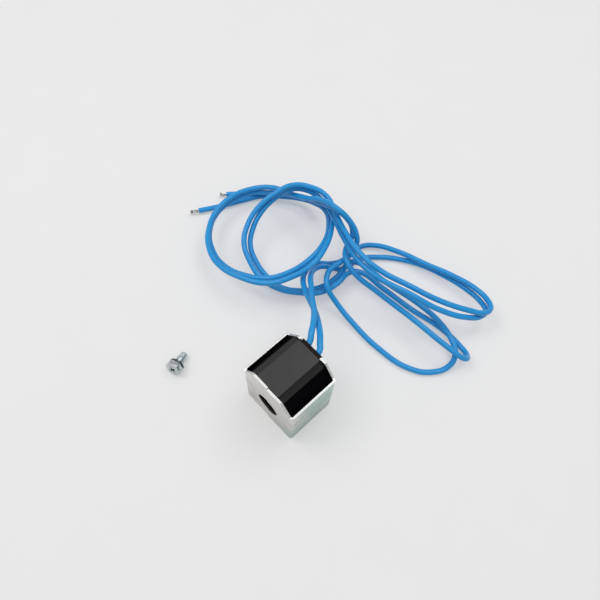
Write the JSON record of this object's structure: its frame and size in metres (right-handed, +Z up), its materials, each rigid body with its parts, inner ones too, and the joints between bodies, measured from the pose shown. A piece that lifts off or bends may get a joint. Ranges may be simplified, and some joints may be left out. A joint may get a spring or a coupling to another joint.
{
  "type": "reversing valve coil",
  "caption": "Reversing valve solenoid coil: black encapsulated winding in a bent zinc-plated steel yoke, with blue insulated leads and a loose fixing screw.",
  "frame": {"origin": "centre of the yoke's base, on the surface that it stands on", "axes": "+Z up; -Y out of the plunger's hole in the front plate; the leads leave the back plate towards +Y"},
  "size_m": [0.1886, 0.1677, 0.0475],
  "materials": {
    "zinc_steel": "satin",
    "black_resin": "satin",
    "bobbin_nylon": "matte",
    "copper_wire": "gloss",
    "polyester_tape": "gloss",
    "terminal_brass": "satin",
    "blue_insulation": "satin",
    "tinned_strands": "satin",
    "screw_zinc": "gloss",
    "washer_steel": "satin"
  },
  "bodies": {
    "coil": {"yoke_frame": "zinc_steel", "coil_moulding": "black_resin", "bobbin": "bobbin_nylon", "winding": "copper_wire", "winding_tape": "polyester_tape", "terminal_a": "terminal_brass", "terminal_b": "terminal_brass", "lead_a": "blue_insulation", "lead_b": "blue_insulation", "lead_a_strands": "tinned_strands", "lead_b_strands": "tinned_strands"},
    "fixing_screw": {"fixing_screw": "screw_zinc"},
    "spring_washer": {"spring_washer": "washer_steel"}
  },
  "joints": [
    {"name": "screw_lift", "type": "slide", "parent": "coil", "child": "fixing_screw", "axis": [0, 0, 1], "range_m": [0, 0.035]},
    {"name": "washer_spin", "type": "hinge", "parent": "fixing_screw", "child": "spring_washer", "pos_m": [-0.056, -0.034, 0.00425], "axis": [0.3301, -0.9069, 0.2619], "continuous": true}
  ]
}
